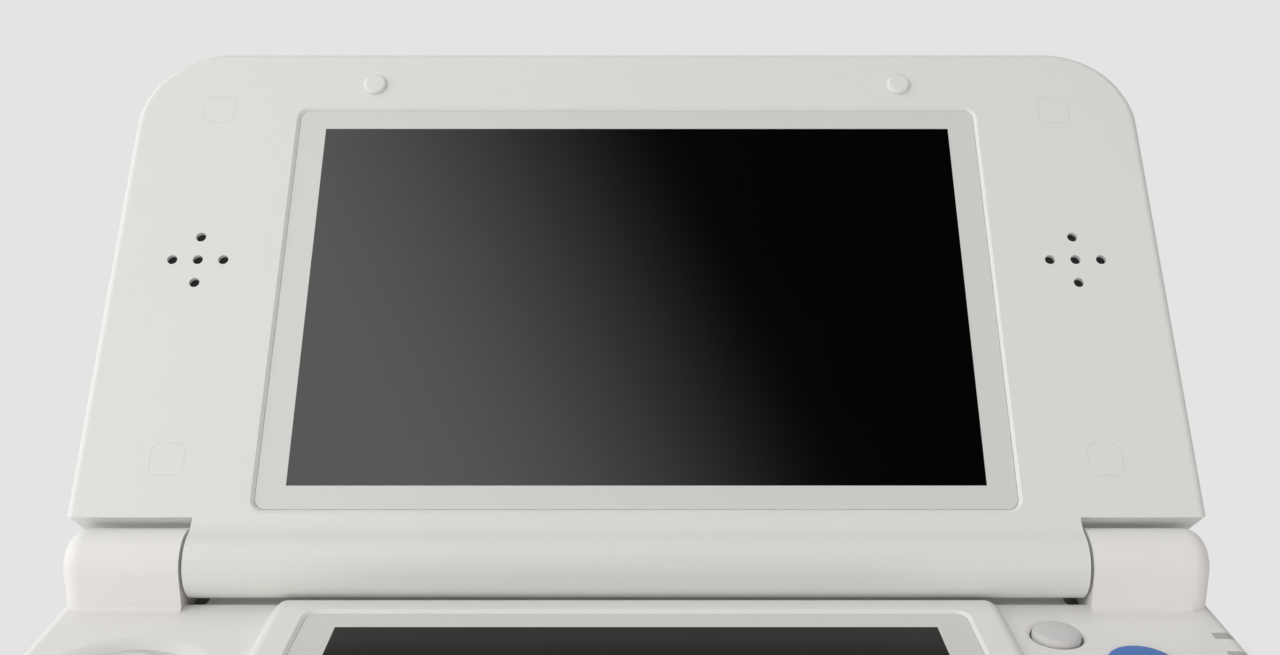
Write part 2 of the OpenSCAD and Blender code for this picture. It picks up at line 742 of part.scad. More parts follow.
module cover_screws() color(steel) {
    for (p = cover_screw_at) translate([p[0], p[1], 0.1]) screw(1.6, 0.6, 4);
}

module case_screws() color(steel) {
    for (p = case_screw_at) translate([p[0], p[1], tray_z - 0.8]) screw(1.5, 0.8, tray_t + 2.2);
}

// ---------------------------------------------------------------- base fittings

module lower_bezel() color(soft_white) translate([0, 0, lower_plate_z])
    linear_extrude(lower_plate_t) difference() {
        outline(lower_plate_w, lower_plate_y0, lower_plate_y1, plate_corner_r, plate_corner_r);
        translate([-lower_view_w / 2, lower_view_y0]) square([lower_view_w, lower_view_h]);
    }

module touch_panel() color(dark)
    block([-lower_view_w / 2, lower_view_y0, lower_plate_z],
          [lower_view_w / 2, lower_view_y1, lower_plate_z + lower_plate_t]);

module lower_lcd() color(steel)
    block([-lower_view_w / 2 - lcd_lap, lower_view_y0 - lcd_lap, lower_plate_z - lower_lcd_t],
          [lower_view_w / 2 + lcd_lap, lower_view_y1 + lcd_lap, lower_plate_z]);

module main_board() color(board_green) difference() {
    union() {
        block([-board_half, board_y[0], board_z], [board_half, board_y[1], board_top]);
        block([-home_w / 2 - 4.5, front_y + 2.3, board_z],
              [home_w / 2 + 4.5, board_y[0] + 1, board_top]);
        // chips under the display, in shares of the board's half width
        for (c = [[-0.33, 0.15, 0.18], [0.03, 0.09, 0.21], [0.33, -0.21, 0.14], [-0.18, -0.24, 0.12]])
            translate([c[0] * board_half, c[1] * board_half, board_top])
                linear_extrude(chip_t) square(c[2] * board_half, center = true);
    }
    for (s = [-1, 1]) translate([s * board_half, board_y[0], board_z - over])
        rotate(45) cube(0.12 * board_half, center = true);
}

module battery() color(steel)
    along_y(battery_y[0], battery_y[1])
        section(battery_x[0], battery_x[1], floor_z, floor_z + battery_h, 0.8, 0.8);

module card_cage() color(steel) {
    x0 = card_x - card_w / 2;
    x1 = card_x + card_w / 2;
    difference() {
        block([x0 - card_shell, card_y0, floor_z], [x1 + card_shell, card_y0 + card_l, tray_z]);
        block([x0, card_y0 - over, jack_z - card_h / 2],
              [x1, card_y0 + card_l - card_shell, jack_z + card_h / 2]);
    }
}

module sd_socket() color(steel) difference() {
    block([sd_x - sd_w / 2, sd_y - sd_l / 2, tray_z - sd_t],
          [sd_x + sd_w / 2, sd_y + sd_l / 2, tray_z]);
    block([sd_x - sd_w / 2 + 0.5, sd_y - sd_l / 2 - over, tray_z - sd_t + card_shell],
          [sd_x + sd_w / 2 - 0.5, sd_y + sd_l / 2 - 1, tray_z - card_shell]);
}

module headphone_jack() color(dark) translate([jack_x, 0, jack_z]) difference() {
    union() {
        block([-jack_bore_r - 1.2, card_y0, floor_z - jack_z],
              [jack_bore_r + 1.2, front_y + jack_bore_l + 1, tray_z - jack_z]);
        rod_y(jack_bore_r + jack_shell, front_y + 0.05, card_y0 + 0.5);
    }
    rod_y(jack_bore_r, front_y - over, front_y + 0.05 + jack_bore_l);
}

module charge_socket() color(dark) difference() {
    union() {
        block([-charge_w / 2 - 2, rear_y - wall - 0.1 - charge_l, charge_z - charge_h],
              [charge_w / 2 + 2, rear_y - wall - 0.1, tray_z]);
        charge_block(charge_shell, rear_y - 2, rear_y - 0.4);
    }
    charge_block(0, rear_y - wall - charge_l + 2, rear_y + over);
}

module infrared_window() color(dark) window_block(0, rear_y - wall, rear_y - 0.1);

module wireless_module() color(steel)
    block([jack_x + 0.5 - wireless_w / 2, battery_y[1] - 2 - wireless_l, tray_z - wireless_t],
          [jack_x + 0.5 + wireless_w / 2, battery_y[1] - 2, tray_z]);

// Rubber sheets with one dome under each button
module button_membranes() color(rubber_grey) {
    translate([face_x, face_y, board_top]) {
        linear_extrude(sheet_top - board_top)
            rounded_rect(2 * face_spread + 8, 2 * face_spread + 8, 6);
        for (a = [0 : 90 : 270]) rotate(a) translate([face_spread, 0, 0])
            cylinder(r1 = 2.2, r2 = 1.4, h = dome_top - board_top);
    }
    translate([menu_x, (menu_ys[0] + menu_ys[1]) / 2, board_top])
        linear_extrude(sheet_top - board_top)
            rounded_rect(2 * menu_r + 2.6, menu_ys[0] - menu_ys[1] + 7, 2);
    for (y = menu_ys) translate([menu_x, y, board_top])
        cylinder(r1 = 1.1, r2 = 0.8, h = dome_top - board_top);
    translate([0, home_y, board_top]) {
        linear_extrude(sheet_top - board_top) rounded_rect(home_w + 3, home_d, 1);
        cylinder(r1 = 1, r2 = 0.8, h = dome_top - board_top);
    }
}

carrier_size = 2 * (circle_well_r - 1.6);
carrier_z = well_floor_z - well_floor_t - 0.6;
carrier_t = 0.5;

// The circle pad's housing: a plate on the board, two rails and two runners
module circle_pad_housing() color(dark) translate([-pad_x, circle_pad_y, 0]) {
    half_x = carrier_size / 2 + circle_travel + 0.3;
    rail_y = carrier_size / 2 + slip;
    block([-half_x, -rail_y - 1, board_top], [half_x, rail_y + 1, board_top + 0.2]);
    for (s = [-1, 1]) {
        scale_y = s * (rail_y + 0.5);
        translate([0, scale_y, board_top])
            linear_extrude(carrier_z + carrier_t - board_top) square([2 * half_x, 1], center = true);
        translate([0, s * 5, board_top])
            linear_extrude(carrier_z - board_top) square([2 * half_x, 1], center = true);
    }
}

module status_lights() color(rubber_grey) intersection() {
    deck_outer();
    light_boxes();
}

module shoulder_pins() color(steel) {
    for (s = [-1, 1]) translate([s * pin_x, pin_y, floor_z])
        cylinder(r = pin_r, h = deck_under + 0.5 - floor_z);
}

// Three close turns of wire round each pin, below the trigger's lug
module shoulder_springs() color(steel) {
    for (s = [-1, 1]) translate([s * pin_x, pin_y, floor_z]) for (i = [0 : 2])
        translate([0, 0, spring_wire + 1.84 * spring_wire * i]) rotate_extrude()
            translate([pin_r + spring_wire + seat, 0]) circle(r = spring_wire, $fn = 24);
}

module hinge_bush() color(steel) at_axis() difference() {
    rod_x(hinge_r, -hinge_end_x, -barrel_l / 2 + bush_reach);
    rod_x(hinge_r - 0.6, -hinge_end_x - over, -barrel_l / 2 + bush_reach + over);
}

module hinge_unit() color(steel) at_axis() difference() {
    rod_x(hinge_r, knuckle_x0 + 0.2, hinge_end_x);
    rod_x(shaft_r + run, knuckle_x0 - over, hinge_end_x - 0.6);
}

// ---------------------------------------------------------------- moving controls

// A round key: rounded cap, flange under the deck and a hollow for its rubber dome
module round_button(r, proud, cup_r) {
    difference() {
        union() {
            puck(r, flange_z, deck_h + proud, 0, 0.5);
            translate([0, 0, flange_z]) cylinder(r = r + 0.7, h = flange_t);
        }
        translate([0, 0, flange_z - over]) cylinder(r = cup_r, h = cup_h + over);
    }
}

module face_button(angle) {
    translate([face_x, face_y, 0]) rotate(angle) translate([face_spread, 0, 0])
        rotate(-angle) round_button(face_r, face_proud, 2.6);
}

module button_top() color(button_blue) face_button(90);
module button_right() color(white) face_button(0);
module button_bottom() color(white) face_button(270);
module button_left() color(white) face_button(180);
module start_button() color(white) translate([menu_x, menu_ys[0], 0]) round_button(menu_r, menu_proud, 1.4);
module select_button() color(white) translate([menu_x, menu_ys[1], 0]) round_button(menu_r, menu_proud, 1.4);

module home_button() color(white) translate([0, home_y, 0]) difference() {
    union() {
        translate([0, 0, flange_z]) linear_extrude(deck_h + home_proud - flange_z)
            rounded_rect(home_w, home_d, home_d / 2 - 0.05);
        translate([0, 0, flange_z]) linear_extrude(flange_t)
            rounded_rect(home_w + 1.4, home_d + 1.2, home_d / 2);
    }
    translate([0, 0, flange_z - over]) cylinder(r = 1.3, h = cup_h + over);
}

module power_button() color(white) translate([power_x, 0, power_z]) {
    rod_y(power_r, front_y - 0.2, front_y + wall + 0.6);
    rod_y(power_r + 0.6, front_y + wall + 0.05, front_y + wall + 0.65);
}

// Slides left and right on the housing's runners; its slot guides the cap's key
module circle_pad_carrier() color(soft_white)
    translate([-pad_x, circle_pad_y, carrier_z]) linear_extrude(carrier_t) difference() {
        rounded_rect(carrier_size, carrier_size, 3);
        square([2.4, 4.6 + 2 * circle_travel + 0.2], center = true);
    }

module circle_pad() color(soft_white) translate([-pad_x, circle_pad_y, 0]) {
    difference() {
        puck(circle_pad_r, well_floor_z + 0.6, deck_h + 1.1, 0.4, 0.6);
        translate([0, 0, deck_h + 0.7 + 26]) sphere(r = 26, $fn = 96);
    }
    translate([0, 0, carrier_z + carrier_t])
        cylinder(r = pad_stem_r, h = well_floor_z + 1 - carrier_z - carrier_t);
    translate([0, 0, carrier_z]) linear_extrude(carrier_t + 0.1)
        square([2.4 - 2 * slip, 4.6], center = true);
}

rock_z = board_top + 0.8;          // direction pad's rocking centre

// A ball of radius r over a round foot of radius foot_r, both about one centre
module ball_post(r, foot_r) {
    intersection() {
        sphere(r = r);
        block([-r, -r, 0], [r, r, r]);
    }
    intersection() {
        sphere(r = foot_r);
        block([-foot_r, -foot_r, -foot_r], [foot_r, foot_r, 0]);
    }
}

// Rubber seat that the direction pad rocks on: a disc with a ball above and a round foot below
module dpad_rubber() color(rubber_grey) translate([-pad_x, dpad_y, rock_z]) {
    translate([0, 0, -0.6]) cylinder(r = 3.6, h = 0.4);
    ball_post(1.1, rock_z - board_top);
}

module dpad() color(white) translate([-pad_x, dpad_y, 0]) difference() {
    union() {
        translate([0, 0, rock_z]) cylinder(r = 8, h = 0.35);
        translate([0, 0, rock_z]) linear_extrude(deck_h + 0.8 - rock_z)
            for (a = [0, 90]) rotate(a) rounded_rect(dpad_l, dpad_w, 0.9);
    }
    // thumb hollow and the seat for the rubber's ball
    translate([0, 0, deck_h + 0.4 + 12]) sphere(r = 12, $fn = 96);
    translate([0, 0, rock_z]) sphere(r = 1.1 + run);
}

nub_z = board_top + 1;             // pointing nub's rocking centre

module nub_post() color(steel) translate([nub_x, nub_y, nub_z]) {
    translate([0, 0, -0.2]) cylinder(r = 4.4, h = 0.4);
    ball_post(1.3, nub_z - board_top);
}

module nub_cap() color(soft_white) translate([nub_x, nub_y, 0]) difference() {
    puck(nub_r, nub_z + 0.45, deck_h + nub_proud, 0, nub_edge_r);
    translate([0, 0, nub_z]) sphere(r = 1.3 + run);
}

// Shoulder trigger on the right: a curved shell round the corner with a lug for its pin
module trigger() {
    translate([0, 0, trigger_z0]) linear_extrude(trigger_z1 - trigger_z0) difference() {
        union() {
            intersection() {
                difference() {
                    base_plan(0);
                    base_plan(trigger_t);
                }
                translate([trigger_x0, trigger_side_y]) square([trigger_w + 1, 20]);
            }
            translate([trigger_x0, pin_y - 2]) square([4, 4]);
        }
        translate([pin_x, pin_y]) circle(r = pin_r + run);
    }
}

module trigger_right() color(white) trigger();
module trigger_left() color(white) mirror([1, 0, 0]) trigger();

// Second shoulder button, with a flange inside the rear wall
module rear_button() {
    translate([rear_button_x, 0, rear_button_z]) {
        along_y(rear_y - wall - 0.6, rear_y + 0.3)
            rounded_rect(rear_button_w, rear_button_h, 1.2);
        along_y(rear_y - wall - 0.7, rear_y - wall - 0.1)
            rounded_rect(rear_button_w + 1.2, rear_button_h + 1.2, 1.4);
    }
}

module rear_button_right() color(white) rear_button();
module rear_button_left() color(white) mirror([1, 0, 0]) rear_button();

module stylus() color(white) translate([stylus_x, 0, stylus_z]) {
    cone_y = front_y + stylus_l - stylus_tip_l;
    rod_y(stylus_r, front_y + 0.1, cone_y);
    translate([0, cone_y, 0]) rotate([-90, 0, 0])
        cylinder(r1 = stylus_r, r2 = stylus_tip_r, h = stylus_tip_l - stylus_tip_r);
    translate([0, front_y + stylus_l - stylus_tip_r, 0]) sphere(r = stylus_tip_r);
}

// ---------------------------------------------------------------- lid

module lid_cavity() {
    translate([0, 0, cavity_n0]) linear_extrude(cavity_n1 - cavity_n0)
        outline(body_w - 2 * lid_wall, heel_v + lid_wall, lid_top_v - lid_wall,
                lid_cavity_r, corner_r - lid_wall);
}

// One half of the lid's shell: round far corners and sides, cut square beside the hinge
module lid_slab(n0, n1, eb, et) intersection() {
    soft_slab(body_w, heel_v - corner_r, lid_top_v, n0, n1, back_edge_r + 0.2, corner_r, eb, et);
    translate([0, 0, n0 - over]) linear_extrude(n1 - n0 + 2 * over)
        outline(body_w, heel_v, lid_top_v + corner_r, lid_heel_r, lid_heel_r);
}

// The barrel's section, blended into the lid's face and back
module neck_section() {
    circle(r = barrel_r);
    polygon([[0, -barrel_r], [heel_v, back_n + 0.3], [heel_v, face_n], [0, face_n]]);
    rise = face_n + heel_blend_r;
    reach = sqrt(pow(barrel_r + heel_blend_r, 2) - pow(rise, 2));
    touch = barrel_r / (barrel_r + heel_blend_r);
    difference() {
        polygon([[0, 0], [reach * touch, rise * touch], [reach, rise], [reach, 0]]);
        translate([reach, rise]) circle(r = heel_blend_r);
    }
}

module slider_recess(side) mirrored(side) {
    half = slider_l / 2 + slider_travel + 0.2;
    block([body_w / 2 - 0.9, slider_v - half, slider_n - slider_w / 2 - 0.2],
          [body_w / 2 + over, slider_v + half, slider_n + slider_w / 2 + 0.2]);
    block([body_w / 2 - lid_wall - over, slider_v - 1 - slider_travel - 0.2, slider_n - 0.6],
          [body_w / 2, slider_v + 1 + slider_travel + 0.2, slider_n + 0.6]);
}

module lid_inner_case() color(white) in_lid() difference() {
    union() {
        difference() {
            lid_slab(lid_split_n, face_n, 0, face_edge_r);
            lid_cavity();
        }
        along_x(-barrel_l / 2, barrel_l / 2) {
            neck_section();
            translate([0, lid_split_n]) square([heel_v + 0.5, face_n - lid_split_n]);
        }
        for (s = [-1, 1], v = cover_vs) translate([s * cover_x, v, lid_split_n])
            cylinder(r = 2.6, h = cavity_n1 - lid_split_n + 0.2);
    }
    // bore for the flex and the bush on the left, keyed seat for the shaft on the right
    rod_x(hinge_r + run, -barrel_l / 2 - over, barrel_l / 2 - shaft_reach + 0.5);
    rod_x(shaft_r + seat, barrel_l / 2 - shaft_reach - 0.5, barrel_l / 2 + over);
    // window plate's seat and the display's opening
    translate([0, 0, upper_plate_n]) linear_extrude(lid_t)
        outline(upper_plate_w + 2 * window_gap, upper_plate_v0 - window_gap,
                upper_plate_v1 + window_gap, plate_corner_r, plate_corner_r);
    seat_bevel(upper_plate_w + 2 * window_gap, upper_plate_v0 - window_gap,
               upper_plate_v1 + window_gap, plate_corner_r, face_n);
    block([-upper_view_w / 2 - lcd_lap - 0.2, upper_view_v - lcd_lap - 0.2, cavity_n0],
          [upper_view_w / 2 + lcd_lap + 0.2, upper_view_v + upper_view_h + lcd_lap + 0.2, face_n]);
    // speaker holes in a cross
    for (s = [-1, 1]) translate([s * speaker_x, speaker_v, cavity_n1 - over])
        for (p = [[0, 0], [1, 0], [-1, 0], [0, 1], [0, -1]])
            translate(speaker_pitch * p) cylinder(r = speaker_hole_r, h = face_wall + 2 * over, $fn = 24);
    // pads, screw covers and screws
    for (s = [-1, 1]) {
        translate([s * lid_pad_x, lid_pad_v, face_n - 0.5]) cylinder(r = lid_pad_r + seat, h = over);
        for (v = cover_vs) translate([s * cover_x, v, 0]) {
            translate([0, 0, face_n - screw_cover_t]) linear_extrude(over)
                rounded_rect(cover_size + 2 * seat, cover_size + 2 * seat, 1.2 + seat);
            translate([0, 0, face_n - 1.5]) cylinder(r = 1.6, h = 1.2);
            translate([0, 0, lid_split_n - over]) cylinder(r = screw_r + button_gap, h = 3);
        }
    }
}

module lid_outer_case() color(white) in_lid() difference() {
    union() {
        difference() {
            union() {
                intersection() {
                    lid_slab(back_n, lid_split_n, back_edge_r, 0);
                    along_x(-body_w / 2 - over, body_w / 2 + over)
                        section(heel_v, lid_top_v + corner_r, back_n, lid_split_n + over,
                                back_edge_r, 0);
                }
                block([-barrel_l / 2, heel_v, back_n],
                      [barrel_l / 2, heel_v + back_edge_r + 0.2, lid_split_n]);
            }
            lid_cavity();
        }
        for (s = [-1, 1], v = cover_vs) translate([s * cover_x, v, cavity_n0 - 0.1])
            cylinder(r = 2.2, h = lid_split_n - cavity_n0 + 0.1);
    }
    for (s = [-1, 1]) {
        slider_recess(s);
        for (v = cover_vs) translate([s * cover_x, v, cavity_n0 + 0.4])
            cylinder(r = screw_r + seat, h = lid_t);
        translate([s * camera_x, camera_v, back_n - over]) cylinder(r = camera_r + seat, h = lid_t);
    }
    // seat for the outer cover plate
    translate([0, 0, back_n - over]) linear_extrude(lid_cover_t + over)
        outline(body_w - 2 * outer_plate_in + 2 * slip, heel_v + outer_plate_in + 1 - slip,
                lid_top_v - 3 + slip, 3, corner_r - 3);
}

module lid_cover_plate() color(white) in_lid() difference() {
    translate([0, 0, back_n]) linear_extrude(lid_cover_t)
        outline(body_w - 2 * outer_plate_in, heel_v + outer_plate_in + 1, lid_top_v - 3,
                3, corner_r - 3 - slip);
    for (s = [-1, 1]) translate([s * camera_x, camera_v, back_n - over])
        cylinder(r = camera_r + seat, h = lid_t);
}

module upper_bezel() color(soft_white) in_lid() translate([0, 0, upper_plate_n])
    linear_extrude(upper_plate_t) difference() {
        outline(upper_plate_w, upper_plate_v0, upper_plate_v1, plate_corner_r, plate_corner_r);
        translate([-upper_view_w / 2, upper_view_v]) square([upper_view_w, upper_view_h]);
    }

module upper_glass() color(dark) in_lid()
    block([-upper_view_w / 2, upper_view_v, upper_plate_n],
          [upper_view_w / 2, upper_view_v + upper_view_h, upper_plate_n + upper_plate_t]);

module upper_lcd() color(steel) in_lid()
    block([-upper_view_w / 2 - lcd_lap, upper_view_v - lcd_lap, upper_plate_n - upper_lcd_t],
          [upper_view_w / 2 + lcd_lap, upper_view_v + upper_view_h + lcd_lap, upper_plate_n]);

module lid_pads() color(soft_white) in_lid()
    for (s = [-1, 1]) translate([s * lid_pad_x, lid_pad_v, 0])
        puck(lid_pad_r, face_n - 0.5, face_n + lid_pad_h, 0, lid_pad_edge_r);

module screw_covers() color(white) in_lid()
    for (s = [-1, 1], v = cover_vs) translate([s * cover_x, v, face_n - screw_cover_t])
        linear_extrude(screw_cover_t) rounded_rect(cover_size, cover_size, 1.2);

module lid_screws() color(steel) in_lid()
    for (s = [-1, 1], v = cover_vs) translate([s * cover_x, v, face_n - 0.7])
        mirror([0, 0, 1]) screw(1.45, 0.8, 4);

module speakers() color(dark) in_lid()
    for (s = [-1, 1]) translate([s * speaker_x, speaker_v, cavity_n1 - speaker_t])
        linear_extrude(speaker_t) rounded_rect(speaker_w, speaker_h, 2);

module camera_lenses() color(dark) in_lid()
    for (s = [-1, 1]) translate([s * camera_x, camera_v, 0]) {
        translate([0, 0, back_n + 0.15]) cylinder(r = camera_r, h = cavity_n0 - back_n);
        translate([0, 0, cavity_n0]) linear_extrude(camera_box_t)
            square(camera_box_w, center = true);
    }

module lid_board() color(board_green) in_lid() {
    half = upper_plate_w / 2 + 2.3;
    block([-half, upper_view_v + upper_view_h + lcd_lap + 1.3, cavity_n0 + camera_box_t],
          [half, lid_top_v - lid_wall - 0.6, cavity_n0 + camera_box_t + lid_board_t]);
}

module hinge_shaft() color(steel) at_axis() 
    rod_x(shaft_r, barrel_l / 2 - shaft_reach, hinge_end_x - 0.8);

// Rolled flexible circuit that crosses from the base to the lid
module hinge_flex() color([0.55, 0.35, 0.12]) at_axis() difference() {
    rod_x(flex_r, -hinge_end_x + 0.8, -barrel_l / 2 + flex_reach);
    rod_x(flex_r - flex_t, -hinge_end_x, -barrel_l / 2 + flex_reach + over);
}

// Thumb piece in its recess, stem through the wall and shoe inside, on the right
module lid_slider() {
    half = slider_l / 2;
    block([body_w / 2 - 0.8, slider_v - half, slider_n - slider_w / 2],
          [body_w / 2 - 0.1, slider_v + half, slider_n + slider_w / 2]);
    block([body_w / 2 - lid_wall - 0.3, slider_v - 1, slider_n - 0.5],
          [body_w / 2 - 0.7, slider_v + 1, slider_n + 0.5]);
    block([body_w / 2 - lid_wall - 1.3, slider_v - 1.8, slider_n - 1.4],
          [body_w / 2 - lid_wall - 0.2, slider_v + 1.8, slider_n + 1.4]);
}

module volume_slider() color(soft_white) in_lid() mirror([1, 0, 0]) lid_slider();
module depth_slider() color(soft_white) in_lid() lid_slider();

// ---------------------------------------------------------------- output

deck_case();
lower_case();
cover_plate();
cover_screws();
case_screws();
lower_bezel();
touch_panel();
lower_lcd();
main_board();
battery();
card_cage();
sd_socket();
headphone_jack();
charge_socket();
infrared_window();
wireless_module();
button_membranes();
circle_pad_housing();
status_lights();
shoulder_pins();
shoulder_springs();
hinge_bush();
hinge_unit();
circle_pad_carrier();
circle_pad();
dpad_rubber();
dpad();
nub_post();
nub_cap();
button_top();
button_right();
button_bottom();
button_left();
start_button();
select_button();
home_button();
power_button();
trigger_left();
trigger_right();
rear_button_left();
rear_button_right();
stylus();
lid_inner_case();
lid_outer_case();
lid_cover_plate();
upper_bezel();
upper_glass();
upper_lcd();
lid_pads();
screw_covers();
lid_screws();
speakers();
camera_lenses();
lid_board();
hinge_shaft();
hinge_flex();
volume_slider();
depth_slider();
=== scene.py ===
import bpy
import bmesh
import math
from mathutils import Matrix, Vector


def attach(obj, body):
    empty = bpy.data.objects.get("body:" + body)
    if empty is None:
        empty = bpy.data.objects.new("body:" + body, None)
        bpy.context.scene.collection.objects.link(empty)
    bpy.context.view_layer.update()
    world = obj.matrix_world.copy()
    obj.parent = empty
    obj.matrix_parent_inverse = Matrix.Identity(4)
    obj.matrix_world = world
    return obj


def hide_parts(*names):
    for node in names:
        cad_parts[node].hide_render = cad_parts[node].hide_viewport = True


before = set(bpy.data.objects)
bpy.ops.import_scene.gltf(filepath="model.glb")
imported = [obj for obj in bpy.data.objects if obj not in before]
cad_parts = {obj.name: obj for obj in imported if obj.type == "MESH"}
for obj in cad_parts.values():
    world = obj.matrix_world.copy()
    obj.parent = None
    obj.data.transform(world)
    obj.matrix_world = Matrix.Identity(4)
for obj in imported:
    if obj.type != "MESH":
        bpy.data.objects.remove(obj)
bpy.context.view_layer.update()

scene = bpy.context.scene
scene.view_settings.view_transform = "Standard"

MM = 0.001                     # places and sizes below are in mm
MICRON = 0.000001              # heights of surface texture are in microns
HALF_WIDTH, HALF_DEPTH = 71, 40.3      # of the base
DECK = 11.4                    # top of the deck
FLANGE = 9.3                   # underside of the keys' flanges
FLANGE_T = 0.6                 # thickness of a key's flange
TOP, BOTTOM = 1, -1            # the two ends of a bar or key


def in_metres(place):
    return [number * MM for number in place]


# the lid's own frame: X along the hinge, Y up the lid, Z out of its face
LID_FOOT, LID_TURN = (0, 35.1, 15.7), math.radians(50)
LID = Matrix.Translation(in_metres(LID_FOOT)) @ Matrix.Rotation(LID_TURN, 4, "X")


# ------------------------------------------------------------------ camera, light and floor

CAMERA_PLACE = (0.45, -121.6, 88.9)
CAMERA_DROP = 15.3             # degrees that it looks down
LENS, SENSOR = 38.6, 36        # focal length and sensor width
NEAREST = 5                    # nearer than this nothing is drawn

BACKDROP = (0.775, 0.775, 0.775, 1)
NEUTRAL, WARM = (1.0, 1.0, 1.0), (1.0, 0.92, 0.915)
FLOOR_RADIUS, FLOOR_DROP = 3000, 0.2
SHADOW_START, SHADOW_END = 0.5, 12     # past the base, where the floor turns into backdrop


def set_camera():
    data = bpy.data.cameras.new("photo_camera")
    data.lens = LENS
    data.sensor_width = SENSOR
    data.clip_start = NEAREST * MM
    camera = bpy.data.objects.new("photo_camera", data)
    scene.collection.objects.link(camera)
    camera.location = in_metres(CAMERA_PLACE)
    camera.rotation_euler = (math.radians(90 - CAMERA_DROP), 0, 0)
    scene.camera = camera


def nodes_of(tree):
    """Empties a node tree, and gives back the call that adds nodes to it."""
    tree.nodes.clear()

    def add(kind, inputs=None, **settings):
        """A new node. Each input is set to a value, or linked where an output is given."""
        made = tree.nodes.new(kind)
        for key, value in settings.items():
            setattr(made, key, value)
        for key, value in (inputs or {}).items():
            if isinstance(value, bpy.types.NodeSocket):
                tree.links.new(value, made.inputs[key])
            else:
                made.inputs[key].default_value = value
        return made
    return add


def soft_step(add, value, start, end, low=0.0, high=1.0):
    """Goes gently from low, where value is start, to high, where it is end."""
    step = add("ShaderNodeMapRange",
               {"Value": value, "From Min": start, "From Max": end, "To Min": low, "To Max": high},
               interpolation_type="SMOOTHSTEP")
    return step.outputs["Result"]


def times_plus(add, value, factor, more):
    """value x factor + more."""
    return add("ShaderNodeMath", {0: value, 1: factor, 2: more},
               operation="MULTIPLY_ADD").outputs[0]


def set_world():
    """Soft studio dome, brighter overhead, with a dark gap above the right in its reflections."""
    world = bpy.data.worlds.new("studio_dome")
    scene.world = world
    world.use_nodes = True
    add = nodes_of(world.node_tree)
    where = add("ShaderNodeTexCoord")
    x, y, z = add("ShaderNodeSeparateXYZ", {0: where.outputs["Generated"]}).outputs
    overhead = soft_step(add, z, start=0.45, end=0.78)

    # in reflections: overhead a panel whose edge runs from the left front to the right back,
    # and lower down walls that fade to the right
    across = times_plus(add, y, 0.55, x)
    panel = soft_step(add, across, start=-0.135, end=-0.46, high=1.78)
    walls = soft_step(add, x, start=0.7, end=-0.7, low=0.30, high=1.15)
    mirrored = add("ShaderNodeMix", {0: overhead, 2: walls, 3: panel}, data_type="FLOAT")
    shine = add("ShaderNodeBackground", {"Strength": mirrored.outputs[0]})

    # the light itself comes mostly from overhead, with a softer wall of it behind,
    # and more from the left than from the right, so that edges read
    behind = soft_step(add, y, start=0.05, end=0.6, low=0.30, high=0.72)
    level = times_plus(add, overhead, 0.62, behind)
    balance = soft_step(add, x, start=0.9, end=-0.9, low=0.55, high=1.42)
    strength = add("ShaderNodeMath", {0: level, 1: balance}, operation="MULTIPLY")
    light = add("ShaderNodeBackground", {"Strength": strength.outputs[0]})

    seen = add("ShaderNodeBackground", {"Color": BACKDROP})
    path = add("ShaderNodeLightPath")
    unseen = add("ShaderNodeMixShader", {0: path.outputs["Is Glossy Ray"],
                                         1: light.outputs[0], 2: shine.outputs[0]})
    dome = add("ShaderNodeMixShader", {0: path.outputs["Is Camera Ray"],
                                       1: unseen.outputs[0], 2: seen.outputs[0]})
    add("ShaderNodeOutputWorld", {"Surface": dome.outputs[0]})


def add_lamp(name, place, aim, size, power, tint):
    """A round soft lamp, in metres and watts, that leaves no spot in the gloss."""
    data = bpy.data.lights.new(name, "AREA")
    data.shape = "DISK"
    data.size = size
    data.energy = power
    data.color = tint
    lamp = bpy.data.objects.new(name, data)
    scene.collection.objects.link(lamp)
    lamp.location = place
    lamp.rotation_euler = (Vector(aim) - Vector(place)).to_track_quat("-Z", "Y").to_euler()
    lamp.visible_glossy = False


def set_lamps():
    add_lamp("side_lamp", place=(-0.85, -0.05, 0.25), aim=(0, 0.03, 0.03), size=0.8, power=3.1,
             tint=NEUTRAL)
    add_lamp("key_lamp", place=(-0.42, -0.30, 0.50), aim=(0, 0.03, 0.05), size=0.5, power=0.6,
             tint=NEUTRAL)
    add_lamp("front_lamp", place=(0, -0.80, 0.10), aim=(0, 0.03, 0.02), size=0.5, power=2.9,
             tint=WARM)


def deselect():
    if bpy.context.object and bpy.context.object.mode != "OBJECT":
        bpy.ops.object.mode_set(mode="OBJECT")
    bpy.ops.object.select_all(action="DESELECT")


def apply_place():
    bpy.ops.object.transform_apply(location=True, rotation=True, scale=True)


